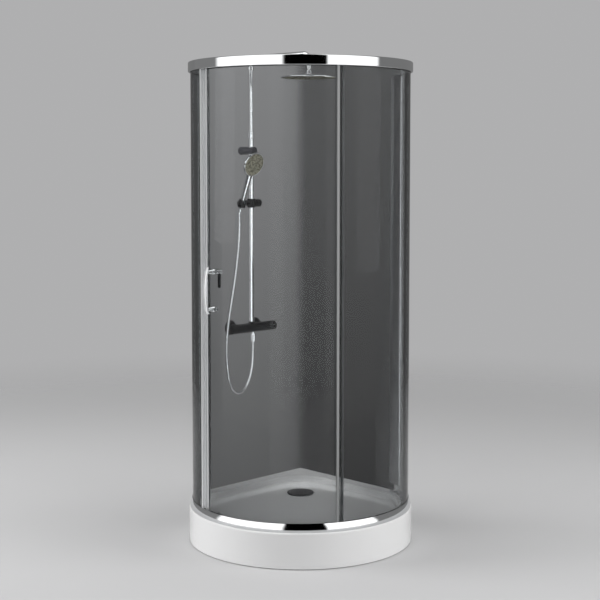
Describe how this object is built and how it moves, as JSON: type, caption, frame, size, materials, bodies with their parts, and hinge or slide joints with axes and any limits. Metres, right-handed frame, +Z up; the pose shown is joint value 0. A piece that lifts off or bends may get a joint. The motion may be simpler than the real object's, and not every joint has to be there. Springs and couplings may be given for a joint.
{
  "type": "corner shower enclosure",
  "caption": "Quadrant shower enclosure: low tray, curved chrome rails, smoked curved glass with a sliding door on wheels, and a riser shower with rain head, handset and bar mixer",
  "frame": {"origin": "the corner of the room on the floor, where the two house walls meet", "axes": "+X along the right house wall, -Y along the left house wall, +Z up; the round front faces +X and -Y"},
  "size_m": [0.9, 0.9157, 2.051],
  "materials": {
    "acrylic": "glossy white sanitary acrylic",
    "board": "raw chipboard under the basin",
    "steel": "plain zinc-plated or stainless steel",
    "rubber": "matte black rubber",
    "trap": "white plastic trap",
    "graphite": "satin dark graphite metal",
    "polished_aluminium": "bright polished chrome look on aluminium profiles",
    "smoked_glass": "clear toughened glass with a grey smoke tint",
    "clear_seal": "translucent soft plastic seal",
    "chrome": "mirror-bright chrome plate",
    "wheel": "off-white hard nylon",
    "nozzle": "soft beige silicone nozzle plate",
    "silver_plastic": "chrome-plated plastic handset",
    "spray": "beige spray face",
    "hose": "smooth silver shower hose"
  },
  "bodies": {
    "enclosure": {"shower_tray": "acrylic", "tray_board": "board", "tray_leg_frame": "steel", "tray_feet": "rubber", "waste_flange": "steel", "waste_trap": "trap", "bottom_rail": "polished_aluminium", "top_rail": "polished_aluminium", "left_wall_profile": "polished_aluminium", "right_wall_profile": "polished_aluminium", "left_post": "polished_aluminium", "right_post": "polished_aluminium", "left_fixed_glass": "smoked_glass", "right_fixed_glass": "smoked_glass", "left_end_profile": "polished_aluminium", "left_magnet_strip": "clear_seal", "right_edge_profile": "polished_aluminium", "post_screws": "steel", "door_stops": "rubber", "mixer_body": "graphite", "mixer_unions": "chrome", "hose_outlet": "chrome", "lower_riser": "chrome", "riser_collar": "chrome", "collar_screw": "rubber", "wall_bracket": "graphite", "shower_hose": "hose", "mixer_hose_nut": "chrome"},
    "door": {"door_glass": "smoked_glass", "door_leading_profile": "polished_aluminium", "door_magnet_strip": "clear_seal", "door_trailing_seal": "clear_seal", "roller_axles": "steel", "roller_caps": "chrome", "handle_bar": "chrome", "handle_standoffs": "chrome", "handle_washers": "clear_seal", "inner_pull": "chrome", "pull_grip": "graphite", "inner_cap": "chrome"},
    "wheel_top_left": {"top_wheel_left": "wheel"},
    "wheel_top_right": {"top_wheel_right": "wheel"},
    "wheel_bottom_left": {"bottom_wheel_left": "wheel"},
    "wheel_bottom_right": {"bottom_wheel_right": "wheel"},
    "cover": {"drain_cover": "graphite"},
    "temperature": {"temperature_knob": "graphite"},
    "flow": {"flow_knob": "graphite"},
    "slider": {"slider_body": "graphite"},
    "clamp_knob": {"slider_knob": "graphite"},
    "handset_holder": {"shower_holder": "graphite", "hand_shower": "silver_plastic", "spray_face": "spray", "handset_hose_nut": "chrome"},
    "riser": {"upper_riser": "chrome", "arm_nut": "chrome"},
    "arm": {"shower_arm": "chrome"},
    "head": {"head_joint": "chrome", "rain_head": "chrome", "rain_nozzles": "nozzle"}
  },
  "joints": [
    {"name": "door_slide", "type": "hinge", "parent": "enclosure", "child": "door", "pos_m": [0.43, -0.43, 1], "axis": [0, 0, 1], "range_deg": [0, 64]},
    {"name": "top_left_roll", "type": "hinge", "parent": "door", "child": "wheel_top_left", "pos_m": [0.3968, -0.85741, 1.9703], "axis": [-0.0775, -0.997, 0], "range_deg": [-2760, 20]},
    {"name": "bottom_left_roll", "type": "hinge", "parent": "door", "child": "wheel_bottom_left", "pos_m": [0.3968, -0.85741, 0.1683], "axis": [-0.0775, -0.997, 0], "range_deg": [-2760, 20]},
    {"name": "top_right_roll", "type": "hinge", "parent": "door", "child": "wheel_top_right", "pos_m": [0.79474, -0.65527, 1.9703], "axis": [0.8508, -0.5255, 0], "range_deg": [-2760, 20]},
    {"name": "bottom_right_roll", "type": "hinge", "parent": "door", "child": "wheel_bottom_right", "pos_m": [0.79474, -0.65527, 0.1683], "axis": [0.8508, -0.5255, 0], "range_deg": [-2760, 20]},
    {"name": "cover_lift", "type": "slide", "parent": "enclosure", "child": "cover", "axis": [0, 0, 1], "range_m": [0, 0.03]},
    {"name": "temperature_turn", "type": "hinge", "parent": "enclosure", "child": "temperature", "pos_m": [0.066, -0.48, 0.853], "axis": [0, 1, 0], "range_deg": [-110, 60]},
    {"name": "flow_turn", "type": "hinge", "parent": "enclosure", "child": "flow", "pos_m": [0.066, -0.255, 0.853], "axis": [0, 1, 0], "range_deg": [-90, 90]},
    {"name": "slider_travel", "type": "slide", "parent": "enclosure", "child": "slider", "axis": [0, 0, 1], "range_m": [-0.35, 0.15], "deforming": ["shower_hose"]},
    {"name": "clamp_turn", "type": "hinge", "parent": "slider", "child": "clamp_knob", "pos_m": [0.066, -0.335, 1.406], "axis": [0, 1, 0], "range_deg": [0, 270]},
    {"name": "holder_tilt", "type": "hinge", "parent": "slider", "child": "handset_holder", "pos_m": [0.066, -0.43, 1.406], "axis": [0, 1, 0], "range_deg": [-10, 15], "deforming": ["shower_hose"]},
    {"name": "riser_height", "type": "slide", "parent": "enclosure", "child": "riser", "axis": [0, 0, 1], "range_m": [-0.08, 0]},
    {"name": "arm_swivel", "type": "hinge", "parent": "riser", "child": "arm", "pos_m": [0.066, -0.374, 2], "axis": [0, 0, 1], "range_deg": [-30, 30]},
    {"name": "head_tilt", "type": "hinge", "parent": "arm", "child": "head", "pos_m": [0.424, -0.374, 1.96], "axis": [0, 1, 0], "range_deg": [-15, 15]}
  ],
  "couplings": [
    {"joint": "top_left_roll", "follows": "door_slide", "ratio": -42.87},
    {"joint": "bottom_left_roll", "follows": "door_slide", "ratio": -42.87},
    {"joint": "top_right_roll", "follows": "door_slide", "ratio": -42.87},
    {"joint": "bottom_right_roll", "follows": "door_slide", "ratio": -42.87}
  ]
}
